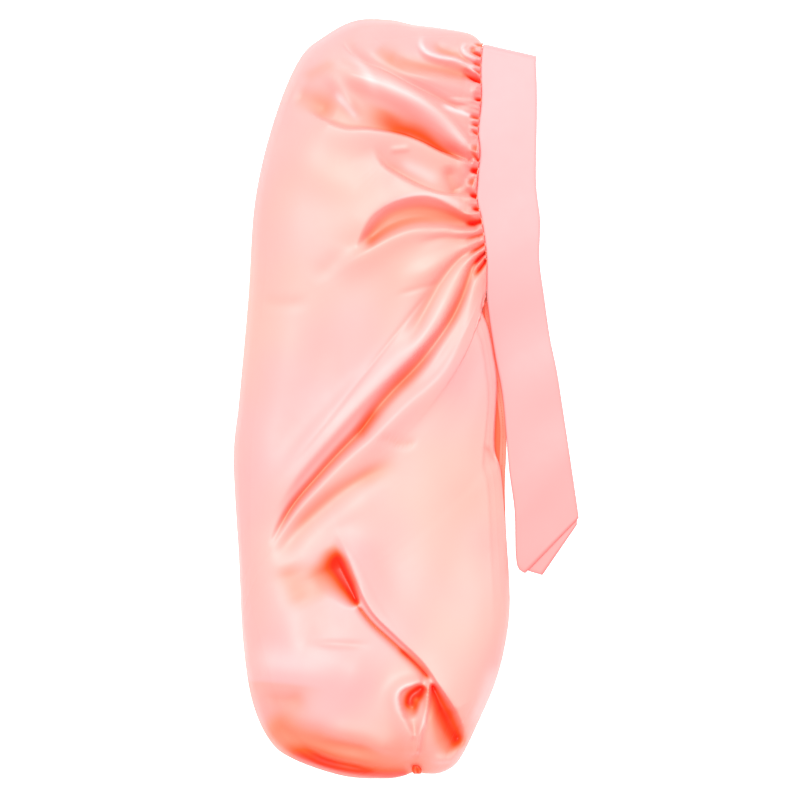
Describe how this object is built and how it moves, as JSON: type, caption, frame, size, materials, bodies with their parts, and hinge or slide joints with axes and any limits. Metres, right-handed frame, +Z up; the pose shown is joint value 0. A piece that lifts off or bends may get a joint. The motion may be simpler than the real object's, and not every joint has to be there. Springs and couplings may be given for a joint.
{
  "type": "long braid bonnet",
  "caption": "Long satin bonnet for braids: a deep soft bag gathered into a wide band that folds over the top of the head and ends in two ties, laid flat on its side.",
  "frame": {"origin": "the middle of the bonnet's plan, on the surface it lies on", "axes": "+Y from the closed tail towards the crown, +Z up from the surface, +X towards the band and ties"},
  "size_m": [0.3456, 0.7614, 0.067],
  "materials": {
    "satin": "peach pink satin with a soft sheen",
    "band_satin": "the same satin folded double, dull side showing",
    "satin_hem": "turned satin hem with one row of stitches"
  },
  "bodies": {
    "root": {"upper_crown": "satin", "upper_brow": "satin", "upper_shoulder": "satin", "upper_waist": "satin", "upper_body": "satin", "upper_tail": "satin", "upper_tail_end": "satin", "lower_crown": "satin", "lower_brow": "satin", "lower_shoulder": "satin", "lower_waist": "satin", "lower_body": "satin", "lower_tail": "satin", "drawn_tail": "satin", "tail_tuft": "satin", "tie_band": "band_satin", "upper_nape_hem": "satin_hem", "lower_nape_hem": "satin_hem"}
  },
  "joints": []
}
